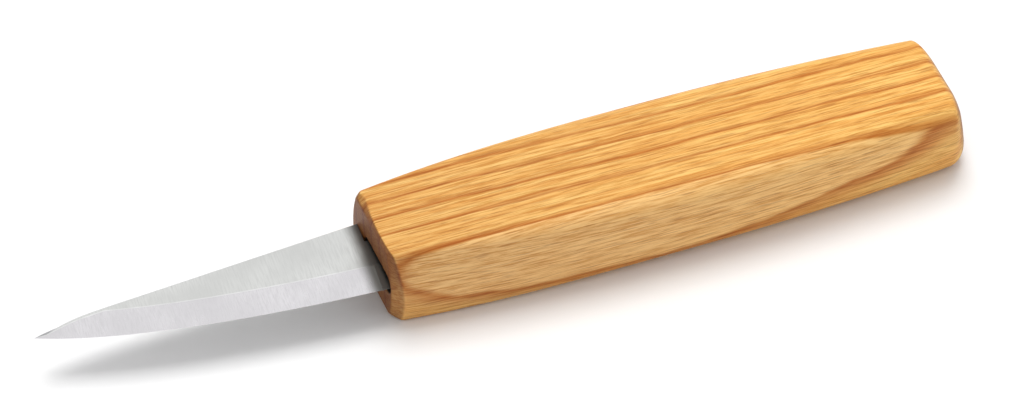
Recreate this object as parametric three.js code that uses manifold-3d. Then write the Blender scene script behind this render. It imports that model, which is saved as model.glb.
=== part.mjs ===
// Fixed-blade whittling knife: a flat-ground carbon steel blade whose stick tang is
// glued into a milled slot in a one-piece, barrel-shaped ash handle.
//
// Millimetres, +Z up. The knife lies on the flat side of its handle. X runs along the
// knife with the tip at -X and the butt at +X, the spine is towards +Y and the cutting
// edge towards -Y. The shapes are drawn with X = 0 at the front end of the handle, Y = 0
// in the middle of its height and Z = 0 on the mid-plane of the blade, and the whole
// knife is then moved so that the origin is the bottom centre of its box.

import * as THREE from 'three';
import { mergeVertices } from 'three/addons/utils/BufferGeometryUtils.js';
import Module from 'manifold-3d';

const wasm = await Module();
wasm.setup();

// ---------------------------------------------------------------- driving dimensions

const HANDLE_LENGTH = 117.1;
const HANDLE_THICKNESS = 17.2;
const WAIST_X = 59.5;            // where the barrel outline is tallest
const BARREL_HALF_HEIGHT = { spine: 12.8, belly: 13.0 };
const FRONT_HALF_HEIGHT = { spine: 8.3, belly: 8.9 };
const BUTT_HALF_HEIGHT = { spine: 10.0, belly: 10.5 };

// The narrow spine and belly sides bulge, most of all at the front, where the belly
// side also leans out a little towards the underside.
const FRONT_CROWN = 1.6;
const BACK_CROWN = 0.7;
const FRONT_LEAN = 0.6;

const FRONT_EDGE_RADIUS = 0.7;   // long edges: crisp at the front,
const BACK_EDGE_RADIUS = 3.0;    // soft where the palm goes

// The front face is cut a few degrees off square: it falls back towards the belly and
// towards the upper side. Its edge is broken by hand: deeper at the corners than in the
// middle of the flats, deepest in the middle of the belly and less towards the spine.
const FRONT_FACE_X = 1.4;
const FRONT_RAKE = Math.tan(THREE.MathUtils.degToRad(4.5));
const FRONT_TILT = Math.tan(THREE.MathUtils.degToRad(3.5));
const FRONT_INSET = { spine: 0.2, flat: 1.0, belly: 1.2 };
const FRONT_BREAK_X = 2.35;
const FRONT_BREAK_CURVE = 0.012;
const FRONT_BREAK_BULGE = 0.5;
const SPINE_RELIEF = { from: 6.2, to: 8.4, depth: 1.0 };

const BUTT_ROUND = { depth: 4.0, height: 6.2, thickness: 3.8 };
const BUTT_CROWN = 0.8;
const BUTT_LEAN = Math.tan(THREE.MathUtils.degToRad(12)); // longer on the underside

const BLADE_LENGTH = 61.3;       // from the front end of the handle to the tip
const BLADE_THICKNESS = 2.0;
const EDGE_THICKNESS = 0.1;      // of the cutting edge itself
const SPINE_AT_HEEL = 7.4;       // heights above the middle of the handle
const EDGE_AT_HEEL = -8.85;
const EDGE_SWEEP = { ahead: 41.5, height: -6.3 }; // the edge curves up round this point
const TIP_HEIGHT = 2.1;
const TIP_BODY = 0.12;           // height of steel left at the very tip
const BEVEL_HEIGHT = 5.4;
const FLAT_MIN = 0.1;            // the flat keeps this share of the height at the tip
const SPINE_SLOPE = 0.0725;      // the spine drops towards the tip
const CLIP_START = 52;           // where it starts to drop faster
const SWEDGE_START = 52;         // where the spine corners are ground off
const SWEDGE_WIDTH = 0.55;
const SWEDGE_DEPTH = 0.8;        // how deep it is ground, as a share of its width
const SWEDGE_MAX = 0.4;          // its largest share of the height at the tip
const SPINE_BREAK = 0.04;        // the spine corners are just broken along the rest
const SPINE_LAND = 0.3;          // the share of the thickness the swedge leaves

const SLOT_START = -5;           // clear of the front face
const SLOT_WIDTH = 4.2;
const SLOT_TOP = 3.8;
const SLOT_BOTTOM = -9.2;
const SLOT_DEPTH = 54;
const SLOT_NARROW_X = 9;         // behind the heel the slot is only as tall as the tang
const SLOT_TANG_BOTTOM = -6.4;

const HEEL_INSIDE = 5;           // how far the full cutting edge runs into the slot
const TANG_LENGTH = 48;
const NECK_TOP = 2.9;            // below the shoulder that meets the front face
const TANG_TOP = 2.4;
const TANG_BOTTOM = -4.6;
const TANG_TAPER = 1.6;          // taken off each side at the end of the tang
const TANG_END_RADIUS = 1.8;
const TANG_OVERLAP = 1;          // how far the tang is drawn into the blade's heel

const GAP = 0.3;                 // between touching pieces

// ---------------------------------------------------------------------------- solids

function toSolid(geometry) {
  const positionsOnly = geometry.clone();
  positionsOnly.deleteAttribute('normal');
  positionsOnly.deleteAttribute('uv');
  const merged = mergeVertices(positionsOnly, 1e-4);
  return new wasm.Manifold(new wasm.Mesh({
    numProp: 3,
    vertProperties: new Float32Array(merged.attributes.position.array),
    triVerts: new Uint32Array(merged.index.array),
  }));
}

function toGeometry(solid) {
  const mesh = solid.getMesh();
  const geometry = new THREE.BufferGeometry();
  geometry.setAttribute('position', new THREE.BufferAttribute(mesh.vertProperties, 3));
  geometry.setIndex(new THREE.BufferAttribute(mesh.triVerts, 1));
  geometry.computeVertexNormals();
  return geometry;
}

// A closed body along X through rings of points. ringPoint(ring, k) gives the k-th point
// of a ring, counted from +Y over +Z; both ends are closed by a fan from their middle.
function loft(ringSize, ringCount, ringPoint) {
  const rings = ringCount - 1;
  const geometry = new THREE.CylinderGeometry(1, 1, 1, ringSize, rings);
  geometry.rotateZ(-Math.PI / 2);
  const position = geometry.attributes.position;
  const point = new THREE.Vector3();
  for (let i = 0; i < position.count; i += 1) {
    point.fromBufferAttribute(position, i);
    const ring = Math.round((point.x + 0.5) * rings);
    if (Math.hypot(point.y, point.z) < 0.5) {
      point.copy(ringCentre(ringSize, ring, ringPoint));
    } else {
      const turn = Math.atan2(point.z, point.y) / (2 * Math.PI);
      const k = (Math.round(turn * ringSize) + ringSize) % ringSize;
      point.copy(ringPoint(ring, k));
    }
    position.setXYZ(i, point.x, point.y, point.z);
  }
  return toSolid(geometry);
}

function ringCentre(ringSize, ring, ringPoint) {
  const centre = new THREE.Vector3();
  for (let k = 0; k < ringSize; k += 1) {
    centre.add(ringPoint(ring, k));
  }
  return centre.divideScalar(ringSize);
}

// An outline in the X-Y plane as a plate centred on the blade's mid-plane.
function plate(shape, thickness) {
  const geometry = new THREE.ExtrudeGeometry(shape, {
    depth: thickness,
    bevelEnabled: false,
    curveSegments: 8,
  });
  geometry.translate(0, 0, -thickness / 2);
  return toSolid(geometry);
}

// An upright block on the blade's mid-plane, wider than the blade is thick.
function block(x0, x1, y0, y1) {
  const geometry = new THREE.BoxGeometry(x1 - x0, y1 - y0, 2 * BLADE_THICKNESS);
  geometry.translate((x0 + x1) / 2, (y0 + y1) / 2, 0);
  return toSolid(geometry);
}

// ---------------------------------------------------------------------------- handle

// Barrel outline: two parabolas that share their highest point.
function halfHeight(x, side) {
  const end = x < WAIST_X ? 0 : HANDLE_LENGTH;
  const endHeight = x < WAIST_X ? FRONT_HALF_HEIGHT[side] : BUTT_HALF_HEIGHT[side];
  const t = (x - WAIST_X) / (end - WAIST_X);
  return THREE.MathUtils.lerp(BARREL_HALF_HEIGHT[side], endHeight, t * t);
}

// Blends a value from its size at the front face to its size at the waist and behind.
function frontToBack(x, front, back) {
  return THREE.MathUtils.lerp(front, back, THREE.MathUtils.smoothstep(x, 0, WAIST_X));
}

const CROWN_STEPS = 2;
const CORNER_STEPS = 6;
const FLAT_STEPS = 3;
const QUARTER_POINTS = CROWN_STEPS + CORNER_STEPS + FLAT_STEPS;
const SECTION_POINTS = 4 * QUARTER_POINTS;

// Where one point of the section lies: in which quarter, and within it how far up the
// crowned side, how far round the corner and how far along the flat towards the middle.
function sectionPlace(k) {
  const quarter = Math.floor(k / QUARTER_POINTS);
  const within = k % QUARTER_POINTS;
  const step = quarter % 2 === 0 ? within : QUARTER_POINTS - within;
  const cornerStep = THREE.MathUtils.clamp(step - CROWN_STEPS, 0, CORNER_STEPS);
  return {
    ySign: quarter === 0 || quarter === 3 ? 1 : -1,
    zSign: quarter < 2 ? 1 : -1,
    upSide: Math.min(1, step / CROWN_STEPS),
    angle: (cornerStep / CORNER_STEPS) * (Math.PI / 2),
    alongFlat: Math.max(0, (step - CROWN_STEPS - CORNER_STEPS) / FLAT_STEPS),
  };
}

// A rounded rectangle with crowned narrow sides, at a distance behind the front.
function sectionPoint(k, x, insetY, insetZ) {
  const place = sectionPlace(k);
  const spineSide = place.ySign > 0;
  const height = halfHeight(x, spineSide ? 'spine' : 'belly') - insetY;
  const thickness = HANDLE_THICKNESS / 2 - insetZ;
  const radius = frontToBack(x, FRONT_EDGE_RADIUS, BACK_EDGE_RADIUS);
  const z = (thickness - radius) * place.upSide + radius * Math.sin(place.angle);
  const rounding = radius * (1 - Math.cos(place.angle));
  const share = place.zSign * (z / thickness);
  const crown = frontToBack(x, FRONT_CROWN, BACK_CROWN) * (1 - share * share);
  const lean = spineSide ? 0 : frontToBack(x, FRONT_LEAN, 0) * -share;
  const y = (height - rounding + crown + lean) * (1 - place.alongFlat);
  return new THREE.Vector3(x, place.ySign * y, place.zSign * z);
}

const BODY_RINGS = 30;
const ROUND_RINGS = 7;
const FIRST_ROUND_RING = 1 + BODY_RINGS;
const HANDLE_RINGS = FIRST_ROUND_RING + ROUND_RINGS + 1;
const BODY_START_X = 5.6;        // clear of the broken edge
const ROUND_START_X = HANDLE_LENGTH - BUTT_CROWN - BUTT_ROUND.depth;

function handlePoint(ring, k) {
  if (ring === 0) {
    return frontFacePoint(k);
  }
  if (ring === 1) {
    return brokenEdgePoint(k);
  }
  if (ring < FIRST_ROUND_RING) {
    const t = (ring - 1) / BODY_RINGS;
    return sectionPoint(k, THREE.MathUtils.lerp(BODY_START_X, ROUND_START_X, t), 0, 0);
  }
  return buttPoint(ring, k);
}

function frontFaceX(y, z) {
  return FRONT_FACE_X - y * FRONT_RAKE + z * FRONT_TILT;
}

function frontFacePoint(k) {
  const side = sectionPlace(k).ySign > 0 ? 'spine' : 'belly';
  const point = sectionPoint(k, 0, FRONT_INSET[side], FRONT_INSET.flat);
  point.x = frontFaceX(point.y, point.z);
  return point;
}

// Where the broken front edge meets the long sides.
function brokenEdgePoint(k) {
  const { y, z } = sectionPoint(k, FRONT_BREAK_X, 0, 0);
  const share = z / (HANDLE_THICKNESS / 2);
  const bulge = y > 0 ? 0 : FRONT_BREAK_BULGE * (1 - share ** 2);
  const relief = SPINE_RELIEF.depth
    * THREE.MathUtils.smoothstep(y, SPINE_RELIEF.from, SPINE_RELIEF.to);
  const x = FRONT_BREAK_X + FRONT_BREAK_CURVE * y ** 2 + bulge - relief;
  return sectionPoint(k, x, 0, 0);
}

// The butt is rounded over in quarter ellipses and ends in a faint crown. It leans, so
// that the underside is a little longer than the upper side.
function buttPoint(ring, k) {
  const t = Math.min(1, (ring - FIRST_ROUND_RING) / (ROUND_RINGS - 1));
  const lean = t * (Math.PI / 2);
  const shrink = 1 - Math.cos(lean);
  const point = sectionPoint(
    k,
    ROUND_START_X + BUTT_ROUND.depth * Math.sin(lean),
    BUTT_ROUND.height * shrink,
    BUTT_ROUND.thickness * shrink,
  );
  if (ring === HANDLE_RINGS - 1) {
    point.set(HANDLE_LENGTH, point.y / 2, point.z / 2);
  }
  point.x -= point.z * BUTT_LEAN * Math.sin(lean);
  return point;
}

// An upright slot with round top and bottom, as a cutter leaves it. What fills it
// instead stays clear of its walls.
function slotSolid(x0, x1, slotBottom, clearance = 0) {
  const radius = SLOT_WIDTH / 2 - clearance;
  const top = SLOT_TOP - clearance;
  const bottom = slotBottom + clearance;
  const shape = new THREE.Shape();
  shape.moveTo(radius, bottom + radius);
  shape.lineTo(radius, top - radius);
  shape.absarc(0, top - radius, radius, 0, Math.PI, false);
  shape.lineTo(-radius, bottom + radius);
  shape.absarc(0, bottom + radius, radius, Math.PI, 2 * Math.PI, false);
  const geometry = new THREE.ExtrudeGeometry(shape, {
    depth: x1 - x0,
    bevelEnabled: false,
    curveSegments: 10,
  });
  geometry.rotateY(Math.PI / 2);
  geometry.translate(x0, 0, 0);
  return toSolid(geometry);
}

function handleSolid() {
  const mouth = slotSolid(SLOT_START, SLOT_NARROW_X, SLOT_BOTTOM);
  const bore = slotSolid(SLOT_START, SLOT_DEPTH, SLOT_TANG_BOTTOM);
  return loft(SECTION_POINTS, HANDLE_RINGS, handlePoint).subtract(mouth).subtract(bore);
}

// ----------------------------------------------------------------------------- blade

// Heights of the spine and the cutting edge at a distance ahead of the handle.
function spineHeight(ahead) {
  const straight = SPINE_AT_HEEL - SPINE_SLOPE * ahead;
  const drop = SPINE_AT_HEEL - SPINE_SLOPE * BLADE_LENGTH - TIP_HEIGHT;
  const t = Math.max(0, (ahead - CLIP_START) / (BLADE_LENGTH - CLIP_START));
  return straight - drop * t * t;
}

// The cutting edge sweeps up to the tip in one easy curve.
const edgeCurve = new THREE.QuadraticBezierCurve(
  new THREE.Vector2(-HEEL_INSIDE, EDGE_AT_HEEL),
  new THREE.Vector2(EDGE_SWEEP.ahead, EDGE_SWEEP.height),
  new THREE.Vector2(BLADE_LENGTH, TIP_HEIGHT),
);

const BLADE_STATIONS = 30;
const BLADE_RING = 8;

// Half the thickness at a height: flat, then ground down to the cutting edge.
function bladeHalfThickness(edge, y) {
  const flat = BLADE_THICKNESS / 2;
  const keen = EDGE_THICKNESS / 2;
  const ground = keen + ((y - edge) / BEVEL_HEIGHT) * (flat - keen);
  return Math.min(flat, ground);
}

// How far down from the spine its corners are ground off.
function swedgeWidth(ahead, body) {
  const ground = THREE.MathUtils.smoothstep(ahead, SWEDGE_START, BLADE_LENGTH);
  return Math.min(SPINE_BREAK + SWEDGE_WIDTH * ground, body * SWEDGE_MAX);
}

// Each ring has four corners a side: spine, foot of the swedge, top of the bevel, edge.
function bladePoint(ring, k) {
  const station = edgeCurve.getPoint(1 - ring / BLADE_STATIONS);
  const ahead = station.x;
  const edge = station.y;
  const spine = Math.max(spineHeight(ahead), edge + TIP_BODY);
  const body = spine - edge;
  const swedge = swedgeWidth(ahead, body);
  const swedgeFoot = spine - swedge;
  const bevelTop = Math.min(edge + BEVEL_HEIGHT, swedgeFoot - body * FLAT_MIN);
  const upper = k < BLADE_RING / 2;
  const corner = upper ? k : BLADE_RING - 1 - k;
  const y = [spine, swedgeFoot, bevelTop, edge][corner];
  const full = bladeHalfThickness(edge, swedgeFoot);
  const land = Math.max(full - swedge * SWEDGE_DEPTH, full * SPINE_LAND);
  const z = corner === 0 ? land : bladeHalfThickness(edge, y);
  return new THREE.Vector3(-ahead, y, upper ? z : -z);
}

// The stick tang tapers evenly and has round corners at its end.
function tangSolid(clearance) {
  const x0 = HEEL_INSIDE - TANG_OVERLAP - clearance;
  const x1 = TANG_LENGTH + clearance;
  const top = TANG_TOP + clearance;
  const bottom = TANG_BOTTOM - clearance;
  const radius = TANG_END_RADIUS + clearance;
  const shape = new THREE.Shape();
  shape.moveTo(x0, bottom);
  shape.lineTo(x1 - radius, bottom + TANG_TAPER);
  shape.quadraticCurveTo(x1, bottom + TANG_TAPER, x1, bottom + TANG_TAPER + radius);
  shape.lineTo(x1, top - TANG_TAPER - radius);
  shape.quadraticCurveTo(x1, top - TANG_TAPER, x1 - radius, top - TANG_TAPER);
  shape.lineTo(x0, top);
  shape.closePath();
  return plate(shape, BLADE_THICKNESS + 2 * clearance);
}

// The spine side stops at a shoulder against the wood; the edge side runs on into it.
function bladeSolid() {
  const body = loft(BLADE_RING, BLADE_STATIONS + 1, bladePoint);
  const shoulderX = frontFaceX(SPINE_AT_HEEL, -BLADE_THICKNESS / 2) - GAP;
  const aboveNeck = block(shoulderX, 2 * HEEL_INSIDE, NECK_TOP, 2 * SPINE_AT_HEEL);
  return body.subtract(aboveNeck).add(tangSolid(0));
}

// -------------------------------------------------------------------------- adhesive

// Epoxy fills the slot round the tang, behind the heel of the blade.
function adhesiveSolid() {
  const x0 = HEEL_INSIDE + GAP;
  const filled = slotSolid(x0, SLOT_DEPTH - GAP, SLOT_TANG_BOTTOM, GAP);
  return filled.subtract(tangSolid(GAP));
}

// -------------------------------------------------------------------------- assembly

const ash = new THREE.MeshStandardMaterial({
  color: 0xe0ae6c,
  roughness: 0.55,
  metalness: 0,
});
const steel = new THREE.MeshStandardMaterial({
  color: 0xc4c4c8,
  roughness: 0.32,
  metalness: 1,
});
const epoxy = new THREE.MeshStandardMaterial({
  color: 0x7a6138,
  roughness: 0.35,
  metalness: 0,
});

function piece(name, solid, material) {
  const mesh = new THREE.Mesh(toGeometry(solid), material);
  mesh.name = name;
  return mesh;
}

const knife = new THREE.Group();
knife.add(
  piece('blade', bladeSolid(), steel),
  piece('handle', handleSolid(), ash),
  piece('tang_adhesive', adhesiveSolid(), epoxy),
);

const box = new THREE.Box3().setFromObject(knife);
const centre = box.getCenter(new THREE.Vector3());
knife.position.set(-centre.x, -centre.y, -box.min.z);

export default knife;
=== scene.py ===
"""The looks of a whittling knife: flat-ground steel blade glued into a barrel-shaped ash handle.

The handle and the blade are lofted again here at high resolution, with broken edges, and
stand for the CAD's own; the adhesive in the slot is the CAD's. Lengths are in millimetres
while shapes are built and become metres at the mesh.
"""

import math

import bpy
import numpy as np
from mathutils import Matrix, Vector


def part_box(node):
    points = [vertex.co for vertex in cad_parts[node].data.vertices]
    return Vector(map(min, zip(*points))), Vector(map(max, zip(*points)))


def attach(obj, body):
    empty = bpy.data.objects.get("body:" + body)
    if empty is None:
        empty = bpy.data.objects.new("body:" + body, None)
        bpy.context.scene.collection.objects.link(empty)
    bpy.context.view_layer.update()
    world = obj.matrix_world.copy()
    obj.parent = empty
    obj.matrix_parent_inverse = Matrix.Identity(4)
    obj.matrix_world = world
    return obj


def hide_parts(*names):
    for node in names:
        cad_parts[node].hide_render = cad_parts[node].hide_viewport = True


MM = 0.001

# ------------------------------------------------------------------ camera and light

VIEW_AZIMUTH = math.radians(-17.2)
VIEW_ELEVATION = math.radians(48.5)
VIEW_ROLL = math.radians(-2.2)
VIEW_DISTANCE = 536.25
VIEW_TARGET = (0.55, 4.07, 8.6)
LENS_MM = 102.72
SENSOR_MM = 36.0
DOME_BRIGHTEST = (0.1, 0.3, 0.95)  # the direction in which the dome is brightest
DOME_DIM, DOME_BRIGHT = 0.1, 0.95

# The floor is flat out to half its radius, and then rises to its rim. In metres.
FLOOR = {"radius": 9.0, "rim": 5.0, "spokes": 96, "rings": 40}

# ------------------------------------------------------------------- handle, as built

HANDLE_LENGTH = 117.1
SLOT = {"top": 3.8, "bottom": -9.2, "width": 4.2, "depth": 54.0}
WAIST = 59.5                     # where the barrel is tallest
BARREL = {"spine": 12.8, "belly": 13.0}
FRONT = {"spine": 8.3, "belly": 8.9}
BUTT = {"spine": 10.0, "belly": 10.5}
FRONT_CROWN, BACK_CROWN = 1.6, 0.7
FRONT_LEAN = 0.6
FRONT_EDGE_RADIUS, BACK_EDGE_RADIUS = 0.7, 3.0

FACE_X = 1.4
FACE_RAKE = math.tan(math.radians(4.5))
FACE_TILT = math.tan(math.radians(3.5))
FACE_INSET = {"spine": 0.2, "flat": 1.0, "belly": 1.2}
BREAK_X = 2.35
BREAK_CURVE = 0.012
BREAK_BULGE = 0.5
SPINE_RELIEF = {"from": 6.2, "to": 8.4, "depth": 1.0}
BODY_START_X = 5.6
EDGE_SOFTNESS = 0.45             # rounding of the cut edges at the front

BUTT_ROUND = {"depth": 4.0, "height": 6.2, "thickness": 3.8}
BUTT_CROWN = 0.8
BUTT_LEAN = math.tan(math.radians(12))
ROUND_START_X = HANDLE_LENGTH - BUTT_CROWN - BUTT_ROUND["depth"]

CROWN_STEPS, CORNER_STEPS, FLAT_STEPS = 8, 10, 14
QUARTER = CROWN_STEPS + CORNER_STEPS + FLAT_STEPS
BODY_RINGS = 90
ROUND_RINGS = 14
EDGE_RINGS = 5
WALL_RINGS = 8
WALL_END = 4.0                   # where the slot's straight wall gives way to its lip
CORNER_REACH = 0.45              # the most of a stretch that easing one corner takes up
CROWN_SHARES = (0.75, 0.5, 0.25) # rings on the crown of the butt, as shares of its size
HANDLE_CREASE = 40               # edges sharper than this many degrees stay crisp

# -------------------------------------------------------------------- blade, as built

BLADE_LENGTH = 61.3
BLADE_THICKNESS = 2.0
KEEN = 0.05                      # half the thickness of the cutting edge
SPINE_AT_HEEL = 7.4
EDGE_AT_HEEL = -8.85
SWEEP = (41.5, -6.3)
TIP_HEIGHT = 2.1
TIP_BODY = 0.12
BEVEL_HEIGHT = 5.4
FLAT_MIN = 0.1
RIDGE = 0.11                     # half the height of the polished line above the bevel
RIDGE_MOST = 0.3                 # its largest share of the flat, near the tip
RIDGE_DROP = 0.02                # how far its lower side stands back from the flat
SPINE_SLOPE = 0.0725
CLIP_START = 52.0
SWEDGE = {"start": 52.0, "width": 0.55, "depth": 0.8, "most": 0.4, "land": 0.3}
SPINE_BREAK = 0.1
HEEL_INSIDE = 5.0
NECK_TOP = 2.9
TANG = {"length": 48.0, "top": 2.4, "bottom": -4.6, "taper": 1.6, "end": 1.8}
GAP = 0.3
BLADE_STATIONS = 220
STATION_CROWDING = 0.8           # below 1 the stations lie closer together at the tip
TANG_END_RINGS = 6
BLADE_CREASE = 4                 # edges sharper than this many degrees stay crisp

FLAT, BEVEL, RIDGE_LINE, SPINE = range(4)
ONE_SIDE = [SPINE, FLAT, RIDGE_LINE, BEVEL, BEVEL]
BLADE_STRIPS = ONE_SIDE + [BEVEL] + ONE_SIDE[::-1] + [SPINE]  # materials round one ring


def lerp(a, b, t):
    return a + (b - a) * t


def smoothstep(x, low, high):
    t = np.clip((x - low) / (high - low), 0, 1)
    return t * t * (3 - 2 * t)


# ----------------------------------------------------------------------------- meshes


def lofted(name, rings, origin, materials, strips=None):
    """One closed body through rings of points, with a point in the middle of both ends.

    strips gives the material of each strip round a ring; without it there is only one.
    """
    rings = np.asarray(rings, float)
    count, size = rings.shape[:2]
    points = np.concatenate(
        [rings.reshape(-1, 3), [rings[0].mean(0)], [rings[-1].mean(0)]]
    )
    first, last = count * size, count * size + 1
    faces, slots = [], []
    for ring in range(count - 1):
        for k in range(size):
            after = (k + 1) % size
            low, high = ring * size, (ring + 1) * size
            faces.append((low + k, low + after, high + after, high + k))
            slots.append(strips[k] if strips else 0)
    for k in range(size):
        after = (k + 1) % size
        faces.append((first, after, k))
        faces.append((last, (count - 1) * size + k, (count - 1) * size + after))
        slots += [0, 0]
    mesh = bpy.data.meshes.new(name)
    mesh.from_pydata((points * MM).tolist(), [], faces)
    for material in materials:
        mesh.materials.append(material)
    mesh.polygons.foreach_set("material_index", slots)
    mesh.update()
    made = bpy.data.objects.new(name, mesh)
    made.location = origin
    bpy.context.scene.collection.objects.link(made)
    return made


def smooth_by_angle(made, degrees):
    """Smooth shading, with edges sharper than the angle left crisp."""
    made.data.shade_smooth()
    made.data.set_sharp_from_angle(angle=math.radians(degrees))


# ----------------------------------------------------------------------------- handle


class Handle:
    """The handle's outlines, at the thickness of the CAD's own."""

    def __init__(self, thickness):
        self.half_thickness = thickness / 2

    def half_height(self, x, side):
        """Two parabolas that share their highest point, at the waist."""
        end, at_end = (0, FRONT[side]) if x < WAIST else (HANDLE_LENGTH, BUTT[side])
        t = (x - WAIST) / (end - WAIST)
        return lerp(BARREL[side], at_end, t * t)

    def front_to_back(self, x, front, back):
        return lerp(front, back, smoothstep(x, 0, WAIST))

    def section(self, k, x, inset_y=0.0, inset_z=0.0):
        """A point of a rounded rectangle with crowned narrow sides."""
        place = section_place(k)
        spine_side = place["y_sign"] > 0
        height = self.half_height(x, "spine" if spine_side else "belly") - inset_y
        thickness = self.half_thickness - inset_z
        radius = self.front_to_back(x, FRONT_EDGE_RADIUS, BACK_EDGE_RADIUS)
        turn = math.sin(place["angle"])
        z = (thickness - radius) * place["up"] + radius * turn
        rounding = radius * (1 - math.cos(place["angle"]))
        share = place["z_sign"] * z / thickness
        crown = self.front_to_back(x, FRONT_CROWN, BACK_CROWN) * (1 - share**2)
        lean = 0.0 if spine_side else -share * self.front_to_back(x, FRONT_LEAN, 0)
        y = (height - rounding + crown + lean) * (1 - place["along"])
        return np.array([x, place["y_sign"] * y, place["z_sign"] * z])

    def face(self, k):
        side = "spine" if section_place(k)["y_sign"] > 0 else "belly"
        point = self.section(k, 0.0, FACE_INSET[side], FACE_INSET["flat"])
        point[0] = face_x(point[1], point[2])
        return point

    def broken_edge(self, k):
        _, y, z = self.section(k, BREAK_X)
        share = z / self.half_thickness
        bulge = 0.0 if y > 0 else BREAK_BULGE * (1 - share**2)
        relief = SPINE_RELIEF["depth"] * smoothstep(y, SPINE_RELIEF["from"], SPINE_RELIEF["to"])
        return self.section(k, BREAK_X + BREAK_CURVE * y**2 + bulge - relief)

    def butt(self, k, t):
        """t runs from 0, where the rounding starts, to 1, the end of the handle."""
        turn = t * math.pi / 2
        shrink = 1 - math.cos(turn)
        return self.section(
            k,
            ROUND_START_X + BUTT_ROUND["depth"] * math.sin(turn),
            BUTT_ROUND["height"] * shrink,
            BUTT_ROUND["thickness"] * shrink,
        )

    def butt_lean(self, point, t):
        point[0] -= point[2] * BUTT_LEAN * math.sin(t * math.pi / 2)
        return point


def face_x(y, z):
    return FACE_X - y * FACE_RAKE + z * FACE_TILT


def section_place(k):
    """Quarter of the section, and how far up the side, round the corner and along the flat."""
    quarter, within = divmod(k, QUARTER)
    step = within if quarter % 2 == 0 else QUARTER - within
    corner = min(max(step - CROWN_STEPS, 0), CORNER_STEPS)
    return {
        "y_sign": 1 if quarter in (0, 3) else -1,
        "z_sign": 1 if quarter < 2 else -1,
        "up": min(1, step / CROWN_STEPS),
        "angle": corner / CORNER_STEPS * math.pi / 2,
        "along": max(0, (step - CROWN_STEPS - CORNER_STEPS) / FLAT_STEPS),
        "round": min(1, step / (CROWN_STEPS + CORNER_STEPS)),
    }


def slot_point(k, x):
    """A point of the upright slot with round ends."""
    place = section_place(k)
    radius = SLOT["width"] / 2
    middle = (SLOT["top"] + SLOT["bottom"]) / 2
    straight = (SLOT["top"] - SLOT["bottom"]) / 2 - radius
    turn = place["round"] * math.pi / 2
    y = straight * (1 - place["along"]) + radius * math.cos(turn)
    z = radius * math.sin(turn)
    return np.array([x, middle + place["y_sign"] * y, place["z_sign"] * z])


def rounded_path(corners, radius, steps):
    """A polyline with its inner corners eased, sampled alike for every line of the loft."""
    path = [corners[0]]
    for before, corner, after in zip(corners, corners[1:], corners[2:]):
        back = before - corner
        on = after - corner
        reach_back = min(radius, CORNER_REACH * np.linalg.norm(back))
        reach_on = min(radius, CORNER_REACH * np.linalg.norm(on))
        start = corner + back / np.linalg.norm(back) * reach_back
        end = corner + on / np.linalg.norm(on) * reach_on
        for step in range(steps + 1):
            t = step / steps
            path.append((1 - t) ** 2 * start + 2 * t * (1 - t) * corner + t**2 * end)
    path.append(corners[-1])
    return path


def handle_rings(shape):
    """From the bottom of the slot out over the front face and back to the butt."""
    lines = []
    for k in range(4 * QUARTER):
        line = [slot_point(k, x) for x in np.linspace(SLOT["depth"], WALL_END, WALL_RINGS)]
        lip = slot_point(k, 0.0)
        lip[0] = face_x(lip[1], lip[2])
        corners = [line[-1], lip, shape.face(k), shape.broken_edge(k)]
        corners.append(shape.section(k, BODY_START_X))
        line += rounded_path(corners, EDGE_SOFTNESS, EDGE_RINGS)[1:]
        for x in np.linspace(BODY_START_X, ROUND_START_X, BODY_RINGS)[1:-1]:
            line.append(shape.section(k, x))
        for step in range(ROUND_RINGS + 1):
            t = step / ROUND_RINGS
            line.append(shape.butt_lean(shape.butt(k, t), t))
        for share in CROWN_SHARES:
            point = shape.butt(k, 1.0)
            point[0] = HANDLE_LENGTH - BUTT_CROWN * share**2
            point[1:] *= share
            line.append(shape.butt_lean(point, 1.0))
        lines.append(line)
    return np.array(lines).transpose(1, 0, 2)


# ------------------------------------------------------------------------------ blade


def edge_at(t):
    """(distance ahead of the handle, height) of the cutting edge, from heel to tip."""
    start, end = (-HEEL_INSIDE, EDGE_AT_HEEL), (BLADE_LENGTH, TIP_HEIGHT)
    return [
        (1 - t) ** 2 * a + 2 * t * (1 - t) * b + t**2 * c
        for a, b, c in zip(start, SWEEP, end)
    ]


def spine_height(ahead):
    straight = SPINE_AT_HEEL - SPINE_SLOPE * ahead
    drop = SPINE_AT_HEEL - SPINE_SLOPE * BLADE_LENGTH - TIP_HEIGHT
    t = max(0.0, (ahead - CLIP_START) / (BLADE_LENGTH - CLIP_START))
    return straight - drop * t * t


def bevel_thickness(edge, y):
    return min(
        BLADE_THICKNESS / 2,
        KEEN + (y - edge) / BEVEL_HEIGHT * (BLADE_THICKNESS / 2 - KEEN),
    )


def blade_half_ring(ahead, edge, top):
    """(height, half thickness) from the middle of the spine down to the edge."""
    spine = max(top, edge + TIP_BODY)
    body = spine - edge
    ground = float(smoothstep(ahead, SWEDGE["start"], BLADE_LENGTH))
    swedge = min(SPINE_BREAK + SWEDGE["width"] * ground, body * SWEDGE["most"])
    foot = spine - swedge
    full = bevel_thickness(edge, foot)
    land = max(full - swedge * SWEDGE["depth"], full * SWEDGE["land"])
    bevel_top = min(edge + BEVEL_HEIGHT, foot - body * FLAT_MIN)
    ridge = min(RIDGE, RIDGE_MOST * (foot - bevel_top))
    drop = RIDGE_DROP * ridge / RIDGE
    at_ridge = bevel_thickness(edge, bevel_top)
    return [
        (spine, land),
        (foot, full),
        (bevel_top + ridge, at_ridge),
        (bevel_top - ridge, min(bevel_thickness(edge, bevel_top - ridge), at_ridge - drop)),
        (edge + 0.5 * (bevel_top - edge), bevel_thickness(edge, lerp(edge, bevel_top, 0.5))),
        (edge, KEEN),
    ]


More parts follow.
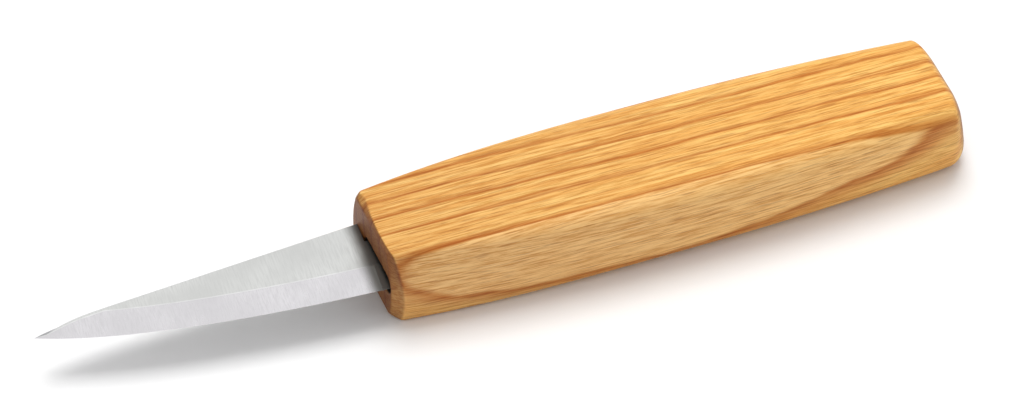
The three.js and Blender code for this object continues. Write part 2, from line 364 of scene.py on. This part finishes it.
def tang_half_ring(x):
    """The same count of points round the tang's plain rectangle, at x inside the handle."""
    taper = TANG["taper"] * (x - HEEL_INSIDE) / (TANG["length"] - HEEL_INSIDE)
    into_end = max(0.0, x - (TANG["length"] - TANG["end"])) / TANG["end"]
    end_round = TANG["end"] * (1 - math.sqrt(max(0.0, 1 - into_end**2)))
    top = TANG["top"] - taper - end_round
    bottom = TANG["bottom"] + taper + end_round
    return [(y, BLADE_THICKNESS / 2) for y in np.linspace(top, bottom, len(ONE_SIDE) + 1)]


def both_sides(x, half):
    upper = [(x, y, z) for y, z in half]
    lower = [(x, y, -z) for y, z in reversed(half)]
    return upper + lower


def blade_rings():
    """From the end of the tang out to the tip."""
    rings = []
    for x in np.linspace(TANG["length"], TANG["length"] - TANG["end"], TANG_END_RINGS):
        rings.append(both_sides(x, tang_half_ring(x)))
    rings.append(both_sides(HEEL_INSIDE, tang_half_ring(HEEL_INSIDE)))
    shoulder = -face_x(SPINE_AT_HEEL, BLADE_THICKNESS / 2)
    passed = False
    for station in range(BLADE_STATIONS + 1):
        ahead, edge = edge_at((station / BLADE_STATIONS) ** STATION_CROWDING)
        if ahead > shoulder and not passed:
            passed = True
            step_edge = lerp(edge, EDGE_AT_HEEL, 0.5)
            rings.append(both_sides(-shoulder, blade_half_ring(shoulder, step_edge, NECK_TOP)))
            full = blade_half_ring(shoulder, step_edge, spine_height(shoulder))
            rings.append(both_sides(-shoulder, full))
        top = spine_height(ahead) if passed else NECK_TOP
        rings.append(both_sides(-ahead, blade_half_ring(ahead, edge, top)))
    return rings


# -------------------------------------------------------------------------- materials


class Nodes:
    """A material's node tree, built up one node at a time."""

    def __init__(self, name):
        self.material = bpy.data.materials.new(name)
        self.material.use_nodes = True
        self.tree = self.material.node_tree
        self.shader = self.tree.nodes["Principled BSDF"]

    def add(self, kind, inputs=(), **settings):
        node = self.tree.nodes.new(kind)
        for setting, value in settings.items():
            setattr(node, setting, value)
        for socket, value in dict(inputs).items():
            self.feed(node.inputs[socket], value)
        return node

    def feed(self, socket, value):
        if isinstance(value, bpy.types.NodeSocket):
            self.tree.links.new(value, socket)
        else:
            socket.default_value = value

    def math(self, operation, a, b=0.0, c=0.0):
        return self.add("ShaderNodeMath", {0: a, 1: b, 2: c}, operation=operation).outputs[0]

    def blend(self, factor, a, b):
        """a where the factor is 0, b where it is 1, for plain values."""
        node = self.add("ShaderNodeMix", data_type="FLOAT")
        self.feed(node.inputs[0], factor)
        self.feed(node.inputs[2], a)
        self.feed(node.inputs[3], b)
        return node.outputs[0]

    def ramp_linear(self, value, low, high):
        """Straight rise from 0 at low to 1 at high."""
        node = self.add("ShaderNodeMapRange", {"Value": value, "From Min": low, "From Max": high})
        return node.outputs["Result"]

    def ramp(self, value, low, high):
        """Smooth rise from 0 at low to 1 at high."""
        node = self.add(
            "ShaderNodeMapRange",
            {"Value": value, "From Min": low, "From Max": high},
            interpolation_type="SMOOTHSTEP",
        )
        return node.outputs["Result"]

    def mix(self, factor, a, b, blend="MIX"):
        node = self.add("ShaderNodeMix", data_type="RGBA", blend_type=blend)
        self.feed(node.inputs[0], factor)
        self.feed(node.inputs[6], a)
        self.feed(node.inputs[7], b)
        return node.outputs[2]

    def place(self, scale, turn=(0, 0, 0)):
        """Object coordinates in features per millimetre along each axis."""
        here = self.add("ShaderNodeTexCoord").outputs["Object"]
        mapping = self.add(
            "ShaderNodeMapping",
            {"Vector": here, "Scale": [s / MM for s in scale], "Rotation": turn},
        )
        return mapping.outputs[0]

    def noise(self, scale, detail=2.0, roughness=0.5, turn=(0, 0, 0)):
        node = self.add(
            "ShaderNodeTexNoise",
            {
                "Vector": self.place(scale, turn),
                "Scale": 1.0,
                "Detail": detail,
                "Roughness": roughness,
            },
        )
        return node.outputs[0]

    def axes(self):
        """Object coordinates in millimetres, one socket for each axis."""
        here = self.add("ShaderNodeTexCoord").outputs["Object"]
        split = self.add("ShaderNodeSeparateXYZ", {0: here})
        return [self.math("MULTIPLY", split.outputs[i], 1 / MM) for i in range(3)]

    def bump(self, height, distance, strength=1.0):
        node = self.add(
            "ShaderNodeBump",
            {"Height": height, "Distance": distance * MM, "Strength": strength},
        )
        return node.outputs[0]


def rgb(red, green, blue):
    """A colour as seen on screen, 0 to 255, as linear light."""
    linear = [
        c / 12.92 if c <= 0.04045 else ((c + 0.055) / 1.055) ** 2.4
        for c in (red / 255, green / 255, blue / 255)
    ]
    return (*linear, 1.0)


PALE, MIDDLE = rgb(250, 206, 130), rgb(242, 184, 104)
STREAK, LATE = rgb(220, 150, 72), rgb(194, 112, 34)
TAN, PORE, END = rgb(253, 206, 140), rgb(150, 84, 30), rgb(140, 104, 74)
FIBRE, FRONT_TONE, BACK_TONE = rgb(222, 198, 164), rgb(240, 237, 231), rgb(255, 253, 236)
# painted shade and reflection: the steel colour near the handle, where the wood shades the blade
# and is mirrored dark in it
# painted shade: the slot colour darkens the slot and its rim, which lie in shadow beside the
# blade
SLOT_PAINTED_SHADE, PAINTED_SHADE_STEEL = rgb(38, 26, 16), rgb(106, 104, 100)

LIP_SHADE_WIDTH = 0.2                  # width of the painted shade on the rim of the slot
HEEL_PAINTED_SHADE = {"from": -1.8, "to": 1.5, "wander": 1.5}  # painted shade and reflection of the wood: where the steel darkens towards the handle, along x
CLOUD_SHADE, GRIND_SHADE = 0.88, 0.85
EPOXY_PALE, EPOXY_DARK = rgb(84, 60, 36), rgb(60, 42, 24)
PAPER_DARK, PAPER_PALE = (0.9, 0.9, 0.9, 1), (0.92, 0.92, 0.92, 1)

# Each steel: colour, roughness, depth of its scratches and how many lie in a millimetre.
STEELS = {
    "steel_flat": (rgb(236, 237, 235), 0.26, 0.006, (3.0, 0.25, 1.0)),
    "steel_bevel": (rgb(236, 234, 237), 0.22, 0.002, (5.0, 0.5, 1.0)),
    "steel_ridge": (rgb(250, 250, 250), 0.3, 0.002, (0.5, 0.25, 1.0)),
    "steel_spine": (rgb(220, 220, 222), 0.3, 0.006, (0.4, 9.0, 9.0)),
}

# Each grain: features in a millimetre along, across and through the wood, detail, roughness.
FIBRE_GRAIN = (0.12, 3.2, 1.0, 4.0, 0.7)
STREAK_GRAIN = (0.04, 1.3, 0.5, 3.0, 0.6)
PORE_GRAIN = (0.2, 4.4, 1.0, 1.0, 0.4)

# Where the growth rings end, up the handle's height, at its middle and its mid-plane.
RINGS = (-11.9, -6.2, -2.1, 1.8, 5.95, 10.2)
RING_FADE = 1.2                  # the dark wood fades towards the spine over this much
RING_CUT = 0.3                   # and ends sharply towards the belly
RING_RANGE = 16.0
RING_TILT, RING_BOW = -0.25, 0.004
RING_SLOPE = 0.016
RING_WANDER, RING_RIPPLE = 1.4, 0.7  # how far the rings stray, slowly and quickly
RING_STOPS = ((-RING_CUT, 0.0), (0.0, 1.0), (0.45, 0.5), (RING_FADE, 0.0))


def ring_ramp(n, depth):
    """1 on the dark late wood that ends each ring, 0 between."""
    node = n.add("ShaderNodeValToRGB", {"Fac": n.ramp_linear(depth, -RING_RANGE, RING_RANGE)})
    stops = node.color_ramp.elements
    stops[0].color = stops[1].color = (0, 0, 0, 1)
    for ring in RINGS:
        for offset, value in RING_STOPS:
            place = (ring + offset + RING_RANGE) / (2 * RING_RANGE)
            stops.new(place).color = (value, value, value, 1)
    return node.outputs["Color"]


def slot_shade_mask(n, x, y, z):
    """Where shade is painted: 1 inside the slot and on its lip, 0 on the rest of the wood."""
    radius = SLOT["width"] / 2
    middle = (SLOT["top"] + SLOT["bottom"]) / 2
    straight = (SLOT["top"] - SLOT["bottom"]) / 2 - radius
    above = n.math("ABSOLUTE", n.math("SUBTRACT", y, middle))
    past = n.math("MAXIMUM", n.math("SUBTRACT", above, straight), 0.0)
    squared = n.math("MULTIPLY_ADD", past, past, n.math("MULTIPLY", z, z))
    near = n.ramp(n.math("SQRT", squared), radius + LIP_SHADE_WIDTH, radius)
    return n.math("MULTIPLY", near, n.ramp(x, SLOT["depth"] + LIP_SHADE_WIDTH, SLOT["depth"]))


def ring_depth(n, x, y, z):
    """Height up the stack of growth rings, which bow, slope and wander through the wood."""
    bend = n.math("MULTIPLY_ADD", z, RING_BOW, RING_TILT)
    depth = n.math("MULTIPLY_ADD", bend, z, y)
    depth = n.math("MULTIPLY_ADD", n.math("SUBTRACT", x, WAIST), RING_SLOPE, depth)
    wander = n.math("SUBTRACT", n.noise((0.03, 0.05, 0.05), 1.5), 0.5)
    ripple = n.math("SUBTRACT", n.noise((0.11, 0.4, 0.4), 2.0), 0.5)
    depth = n.math("MULTIPLY_ADD", wander, RING_WANDER, depth)
    return n.math("MULTIPLY_ADD", ripple, RING_RIPPLE, depth)


def along_grain(n, facing_up, grain):
    """Noise drawn out along the wood, whichever face it is seen on."""
    along, across, through, detail, roughness = grain
    side = n.noise((along, through, across), detail, roughness)
    top = n.noise((along, across, through), detail, roughness)
    return n.blend(facing_up, side, top)


def ring_colour(n, x, depth, streak):
    """Pale early wood, streaked, with the dark late wood of each ring and a tan outer side."""
    follow = n.add("ShaderNodeCombineXYZ", {0: n.math("MULTIPLY", x, 0.02), 1: depth})
    band = n.add("ShaderNodeTexNoise", {"Vector": follow.outputs[0], "Scale": 1.1, "Detail": 3.0})
    base = n.mix(n.ramp(band.outputs[0], 0.3, 0.7), PALE, MIDDLE)
    base = n.mix(n.math("MULTIPLY", n.ramp(streak, 0.45, 0.75), 0.6), base, STREAK)
    base = n.mix(n.ramp(depth, RINGS[0], RINGS[0] - RING_CUT), base, TAN)
    broken = n.math("MULTIPLY_ADD", n.ramp(streak, 0.25, 0.6), 0.35, 0.62)
    return n.mix(n.math("MULTIPLY", ring_ramp(n, depth), broken), base, LATE)


def ash_material():
    """Oiled ash: growth rings stacked up the handle's height, pores and fibres along it."""
    n = Nodes("ash")
    x, y, z = n.axes()
    normal = n.add("ShaderNodeSeparateXYZ", {0: n.add("ShaderNodeNewGeometry").outputs["Normal"]})
    facing_up = n.ramp(n.math("ABSOLUTE", normal.outputs[2]), 0.35, 0.85)
    front_end = n.ramp(normal.outputs[0], -0.3, -0.85)
    butt_end = n.ramp(normal.outputs[0], 0.6, 1.0)
    end_grain = n.math("MAXIMUM", front_end, butt_end)
    fibre = along_grain(n, facing_up, FIBRE_GRAIN)
    streak = along_grain(n, facing_up, STREAK_GRAIN)
    pores = along_grain(n, facing_up, PORE_GRAIN)
    pore_mask = n.math("MULTIPLY", n.ramp(pores, 0.56, 0.7), 0.4)

    base = ring_colour(n, x, ring_depth(n, x, y, z), streak)
    base = n.mix(n.ramp(fibre, 0.4, 0.64), base, FIBRE, "MULTIPLY")
    tone = n.mix(n.ramp(x, 0.0, HANDLE_LENGTH), FRONT_TONE, BACK_TONE)
    base = n.mix(1.0, base, tone, "MULTIPLY")
    base = n.mix(pore_mask, base, PORE)
    base = n.mix(n.math("MULTIPLY", end_grain, 0.9), base, END, "MULTIPLY")
    # painted shade inside the slot and on its rim, where the gap beside the blade lies in shadow
    base = n.mix(slot_shade_mask(n, x, y, z), base, SLOT_PAINTED_SHADE)

    n.feed(n.shader.inputs["Base Color"], base)
    n.feed(n.shader.inputs["Roughness"], n.math("MULTIPLY_ADD", fibre, 0.18, 0.42))
    n.shader.inputs["Specular IOR Level"].default_value = 0.3
    relief = n.math("SUBTRACT", n.math("MULTIPLY", fibre, 0.4), pore_mask)
    n.feed(n.shader.inputs["Normal"], n.bump(relief, 0.05, 0.7))
    return n.material


def shaded(colour, share):
    return [channel * share for channel in colour[:3]] + [1.0]


def steel_material(name, tint, rough, scratch, lines):
    """Ground steel. lines is how many scratches lie in a millimetre along each axis."""
    n = Nodes(name)
    grind = n.noise(lines, 3.0, 0.65)
    cloud = n.noise((0.08, 0.12, 0.12), 2.0)
    colour = n.mix(n.ramp(cloud, 0.3, 0.7), tint, shaded(tint, CLOUD_SHADE))
    colour = n.mix(n.ramp(grind, 0.35, 0.75), colour, shaded(tint, GRIND_SHADE))
    # painted shade and reflection: the steel darkens towards the handle, where the wood shades it
    # and is mirrored dark in it
    along = n.math("MULTIPLY_ADD", cloud, HEEL_PAINTED_SHADE["wander"], n.axes()[0])
    heel_shade = n.ramp(along, HEEL_PAINTED_SHADE["from"], HEEL_PAINTED_SHADE["to"])
    colour = n.mix(heel_shade, colour, PAINTED_SHADE_STEEL)
    n.feed(n.shader.inputs["Base Color"], colour)
    n.shader.inputs["Metallic"].default_value = 1.0
    n.feed(
        n.shader.inputs["Roughness"],
        n.math("ADD", rough, n.math("MULTIPLY", grind, 0.16)),
    )
    n.feed(n.shader.inputs["Normal"], n.bump(grind, scratch, 1.0))
    return n.material


def epoxy_material():
    n = Nodes("epoxy")
    blush = n.noise((0.3, 0.3, 0.3), 3.0)
    n.feed(n.shader.inputs["Base Color"], n.mix(blush, EPOXY_PALE, EPOXY_DARK))
    n.shader.inputs["Roughness"].default_value = 0.3
    return n.material


def paper_material():
    """The pale, plain surface under the knife."""
    n = Nodes("paper")
    mottle = n.noise((0.02, 0.02, 0.02), 2.0)
    n.feed(n.shader.inputs["Base Color"], n.mix(mottle, PAPER_DARK, PAPER_PALE))
    n.shader.inputs["Roughness"].default_value = 0.9
    n.shader.inputs["Specular IOR Level"].default_value = 0.1
    return n.material


# ------------------------------------------------------------------------------ scene


def knife_origin():
    """The front middle of the handle on the blade's mid-plane, found from the CAD blade."""
    low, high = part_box("blade")
    spine = spine_height(-(face_x(SPINE_AT_HEEL, -BLADE_THICKNESS / 2) - GAP))
    return (
        low.x + BLADE_LENGTH * MM,
        high.y - spine * MM,
        (low.z + high.z) / 2,
    )


def show(made, node):
    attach(made, "root")
    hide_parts(node)


def add_handle(origin):
    low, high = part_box("handle")
    rings = handle_rings(Handle((high.z - low.z) / MM))
    made = lofted("handle_wood", rings, origin, [ash_material()])
    smooth_by_angle(made, HANDLE_CREASE)
    show(made, "handle")


def add_blade(origin):
    materials = [steel_material(name, *look) for name, look in STEELS.items()]
    made = lofted("blade_steel", blade_rings(), origin, materials, BLADE_STRIPS)
    smooth_by_angle(made, BLADE_CREASE)
    show(made, "blade")


def add_floor():
    """A wide pale sheet that curves up far away, so that it fills every view."""
    radius, count, rise = FLOOR["radius"], FLOOR["spokes"], FLOOR["rings"]
    points, faces = [(0, 0, 0)], []
    for ring in range(1, rise + 1):
        t = ring / rise
        height = FLOOR["rim"] * max(0.0, 2 * t - 1) ** 2
        for k in range(count):
            turn = 2 * math.pi * k / count
            points.append((radius * t * math.cos(turn), radius * t * math.sin(turn), height))
    for k in range(count):
        after = (k + 1) % count
        faces.append((0, 1 + k, 1 + after))
        for ring in range(rise - 1):
            low, high = 1 + ring * count, 1 + (ring + 1) * count
            faces.append((low + k, high + k, high + after, low + after))
    mesh = bpy.data.meshes.new("floor")
    mesh.from_pydata(points, [], faces)
    mesh.materials.append(paper_material())
    floor = bpy.data.objects.new("floor", mesh)
    bpy.context.scene.collection.objects.link(floor)
    mesh.shade_smooth()


def add_soft_box(name, azimuth, elevation, distance, width, height, power):
    """A softbox aimed at the knife, in metres and watts.

    Azimuth 0 is towards +Y and 90 towards +X. It isn't mirrored in the steel.
    """
    a, e = math.radians(azimuth), math.radians(elevation)
    away = Vector((math.sin(a) * math.cos(e), math.cos(a) * math.cos(e), math.sin(e)))
    data = bpy.data.lights.new(name, "AREA")
    data.shape = "RECTANGLE"
    data.size, data.size_y = width, height
    data.energy = power
    light = bpy.data.objects.new(name, data)
    light.location = away * distance
    light.visible_glossy = False
    light.rotation_euler = away.to_track_quat("Z", "Y").to_euler()
    bpy.context.scene.collection.objects.link(light)


def add_world():
    """A soft dome, brightest above and behind the knife, dimmer towards the viewer."""
    world = bpy.data.worlds.new("studio")
    world.use_nodes = True
    tree = world.node_tree
    background = tree.nodes["Background"]
    background.inputs["Color"].default_value = (1, 1, 1, 1)
    direction = tree.nodes.new("ShaderNodeTexCoord").outputs["Generated"]
    facing = tree.nodes.new("ShaderNodeVectorMath")
    facing.operation = "DOT_PRODUCT"
    facing.inputs[1].default_value = Vector(DOME_BRIGHTEST).normalized()
    strength = tree.nodes.new("ShaderNodeMapRange")
    strength.interpolation_type = "SMOOTHSTEP"
    strength.inputs["From Min"].default_value = 0.0
    strength.inputs["From Max"].default_value = 1.0
    strength.inputs["To Min"].default_value = DOME_DIM
    strength.inputs["To Max"].default_value = DOME_BRIGHT
    tree.links.new(direction, facing.inputs[0])
    tree.links.new(facing.outputs["Value"], strength.inputs["Value"])
    tree.links.new(strength.outputs["Result"], background.inputs["Strength"])
    bpy.context.scene.world = world


def add_camera():
    a, e = VIEW_AZIMUTH, VIEW_ELEVATION
    back = Vector((math.sin(a) * math.cos(e), -math.cos(a) * math.cos(e), math.sin(e)))
    level = Vector((math.cos(a), math.sin(a), 0))
    right = Matrix.Rotation(VIEW_ROLL, 3, back) @ level
    up = back.cross(right)
    data = bpy.data.cameras.new("camera")
    data.lens = LENS_MM
    data.sensor_width = SENSOR_MM
    data.clip_start = 0.01
    camera = bpy.data.objects.new("camera", data)
    turned = Matrix((right, up, back)).transposed().to_4x4()
    place = Vector(VIEW_TARGET) * MM + back * VIEW_DISTANCE * MM
    camera.matrix_world = Matrix.Translation(place) @ turned
    bpy.context.scene.collection.objects.link(camera)
    bpy.context.scene.camera = camera


def corners(bounds):
    return [list(corner) for corner in bounds]


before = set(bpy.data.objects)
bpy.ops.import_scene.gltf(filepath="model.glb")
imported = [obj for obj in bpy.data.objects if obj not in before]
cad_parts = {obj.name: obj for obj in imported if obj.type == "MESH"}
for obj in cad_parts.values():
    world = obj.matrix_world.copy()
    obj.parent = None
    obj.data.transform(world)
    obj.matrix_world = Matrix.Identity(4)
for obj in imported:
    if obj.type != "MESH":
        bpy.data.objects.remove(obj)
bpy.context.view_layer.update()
origin = knife_origin()
add_handle(origin)
add_blade(origin)
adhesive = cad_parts["tang_adhesive"]
adhesive.data.materials.clear()
adhesive.data.materials.append(epoxy_material())
add_floor()
add_world()
add_soft_box("key", azimuth=20, elevation=72, distance=1.0, width=0.5, height=0.5, power=5.9)
add_camera()
bpy.context.scene.view_settings.view_transform = "Standard"
bpy.context.scene.view_settings.look = "None"
